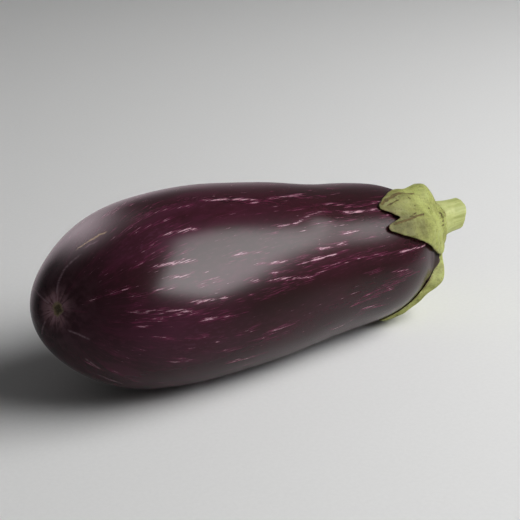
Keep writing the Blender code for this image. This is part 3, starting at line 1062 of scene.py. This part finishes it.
def make_panel(name, place, aim, width, height, radiance, roll, edge, dim_right):
    """A soft rectangular studio light at a place, aimed at a point, turned by roll degrees.

    Its brightness falls off smoothly over edge, a share of its size, and dim_right says how much
    dimmer its right side is.
    """
    data = bpy.data.lights.new(name, "AREA")
    data.shape = "RECTANGLE"
    data.size, data.size_y = width, height
    data.energy = radiance * width * height * math.pi
    light = add_object(name, data)
    turn = (place - aim).to_track_quat("Z", "Y").to_matrix().to_4x4()
    rolled = Matrix.Rotation(math.radians(roll), 4, "Z")
    light.matrix_world = Matrix.Translation(place) @ turn @ rolled
    soften_panel(data, edge, dim_right)
    return light


def soften_panel(data, edge, dim_right):
    """Makes a panel's brightness fall smoothly towards its edges, and evenly towards its right."""
    data.use_nodes = True
    n = Nodes(data.node_tree)
    spot = n.parts(n.node("NewGeometry").outputs["Parametric"])
    total = n.maths("SUBTRACT", 1, n.times(spot["X"], dim_right))
    for axis in ("X", "Y"):
        from_edge = n.maths("PINGPONG", spot[axis], 0.5)
        total = n.times(total, n.span(from_edge, 0, edge))
    n.put(n.tree.nodes["Emission"].inputs["Strength"], total)


def make_lights():
    """A large soft key from the right, which gives the shadow, and panels that only show as shine.

    The reflections have panels of their own, so that they can be set without changing the shadow.
    """
    place = PANEL_DISTANCE * direction(*KEY_DIRECTION)
    key = make_panel("key", place, Vector(KEY_AIM), *KEY_PANEL)
    key.visible_glossy = False
    aim = Vector((0, 0, SHINE_HEIGHT))
    for name, azimuth, elevation, *panel in SHINES:
        place = aim + PANEL_DISTANCE * direction(azimuth, elevation)
        shine = make_panel(name, place, aim, *panel)
        shine.visible_diffuse = False
        if not name.startswith("key"):
            shine.data.color = RIM_LIGHT_COLOUR


def make_sheet(name, side, height):
    mesh = bpy.data.meshes.new(name)
    corners = [(-side, -side, 0), (side, -side, 0), (side, side, 0), (-side, side, 0)]
    mesh.from_pydata(corners, [], [(0, 1, 2, 3)])
    sheet = add_object(name, mesh)
    sheet.location.z = height
    return sheet


def make_floor():
    """The pale floor, and a second sheet that shows only in the skin's shine, near the fruit."""
    s = Shader("floor_paper")
    fine = s.noise(s.node("TexCoord").outputs["Object"], 600, 2)
    colour = s.mix(s.span(fine, 0.3, 0.7), PAPER_DARK, PAPER_LIGHT)
    floor = make_sheet("floor", *FLOOR_SHEET)
    floor.data.materials.append(s.finish(Base_Color=colour, Roughness=1, Specular_IOR_Level=0))
    floor.visible_glossy = False

    s = Shader("floor_shine_paper")
    place = s.node("TexCoord").outputs["Object"]
    offset = s.vector_maths("SUBTRACT", place, SHINE_MIDDLE)["Vector"]
    squeezed = s.scaled(offset, (SHINE_SQUEEZE, 1, 0))
    alpha = s.span(s.vector_maths("LENGTH", squeezed)["Value"], *SHINE_FADE, 0.9, 0)
    sheet = make_sheet("floor_shine", *SHINE_SHEET)
    sheet.data.materials.append(
        s.finish(Base_Color=PAPER_SHINE, Roughness=1, Specular_IOR_Level=0, Alpha=alpha)
    )
    for ray in ("camera", "diffuse", "transmission", "shadow", "volume_scatter"):
        setattr(sheet, "visible_" + ray, False)


def make_world():
    world = bpy.data.worlds.new("studio")
    bpy.context.scene.world = world
    world.use_nodes = True
    background = world.node_tree.nodes["Background"]
    background.inputs["Color"].default_value = (1, 1, 1, 1)
    background.inputs["Strength"].default_value = WORLD_STRENGTH


make_camera()
make_world()
make_lights()
make_floor()
for piece, node, slot in (
    (make_fruit(), "fruit", "fruit_skin"),
    (make_calyx(), "calyx", "calyx_green"),
    (make_stem(), "stem", "stem_green"),
):
    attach(piece, "root")
    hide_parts(node)

bpy.context.scene.view_settings.view_transform = "Standard"
